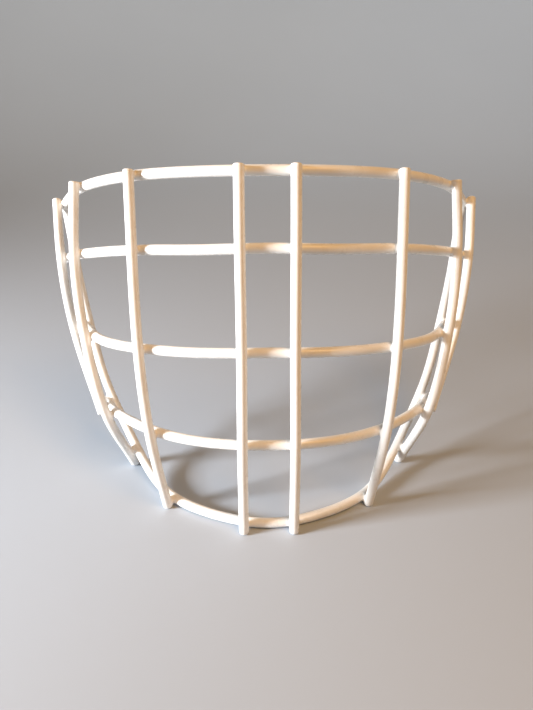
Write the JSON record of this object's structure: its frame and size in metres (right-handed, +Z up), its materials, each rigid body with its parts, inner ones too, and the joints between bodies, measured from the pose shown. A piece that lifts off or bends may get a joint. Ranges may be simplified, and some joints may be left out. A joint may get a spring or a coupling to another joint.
{
  "type": "goalie mask face cage",
  "caption": "Bare face cage of an ice hockey goalie mask: crossed and welded steel wires with a glossy white coat, bowed round the face and open at the back.",
  "frame": {"origin": "on the plane that the bar ends stand on, under the middle of the cage's bounding box", "axes": "+Z up as the cage stands, front towards -Y, back of the head towards +Y, +X towards the wearer's left"},
  "size_m": [0.2472, 0.1298, 0.1742],
  "materials": {
    "perimeter_coat": "gloss",
    "cross_bar_coat": "gloss",
    "vertical_bar_coat": "gloss",
    "weld_coat": "gloss"
  },
  "bodies": {
    "root": {"left_centre_bar": "vertical_bar_coat", "left_inner_bar": "vertical_bar_coat", "left_outer_bar": "vertical_bar_coat", "left_rear_bar": "vertical_bar_coat", "lower_cross_bar": "cross_bar_coat", "middle_cross_bar": "cross_bar_coat", "perimeter_wire": "perimeter_coat", "right_centre_bar": "vertical_bar_coat", "right_inner_bar": "vertical_bar_coat", "right_outer_bar": "vertical_bar_coat", "right_rear_bar": "vertical_bar_coat", "upper_cross_bar": "cross_bar_coat", "weld_left_centre_chin": "weld_coat", "weld_left_centre_lower": "weld_coat", "weld_left_centre_middle": "weld_coat", "weld_left_centre_top": "weld_coat", "weld_left_centre_upper": "weld_coat", "weld_left_end_lower": "weld_coat", "weld_left_end_middle": "weld_coat", "weld_left_end_upper": "weld_coat", "weld_left_inner_chin": "weld_coat", "weld_left_inner_lower": "weld_coat", "weld_left_inner_middle": "weld_coat", "weld_left_inner_top": "weld_coat", "weld_left_inner_upper": "weld_coat", "weld_left_outer_chin": "weld_coat", "weld_left_outer_lower": "weld_coat", "weld_left_outer_middle": "weld_coat", "weld_left_outer_top": "weld_coat", "weld_left_outer_upper": "weld_coat", "weld_left_rear_lower": "weld_coat", "weld_left_rear_middle": "weld_coat", "weld_left_rear_top": "weld_coat", "weld_left_rear_upper": "weld_coat", "weld_right_centre_chin": "weld_coat", "weld_right_centre_lower": "weld_coat", "weld_right_centre_middle": "weld_coat", "weld_right_centre_top": "weld_coat", "weld_right_centre_upper": "weld_coat", "weld_right_end_lower": "weld_coat", "weld_right_end_middle": "weld_coat", "weld_right_end_upper": "weld_coat", "weld_right_inner_chin": "weld_coat", "weld_right_inner_lower": "weld_coat", "weld_right_inner_middle": "weld_coat", "weld_right_inner_top": "weld_coat", "weld_right_inner_upper": "weld_coat", "weld_right_outer_chin": "weld_coat", "weld_right_outer_lower": "weld_coat", "weld_right_outer_middle": "weld_coat", "weld_right_outer_top": "weld_coat", "weld_right_outer_upper": "weld_coat", "weld_right_rear_lower": "weld_coat", "weld_right_rear_middle": "weld_coat", "weld_right_rear_top": "weld_coat", "weld_right_rear_upper": "weld_coat"}
  },
  "joints": []
}
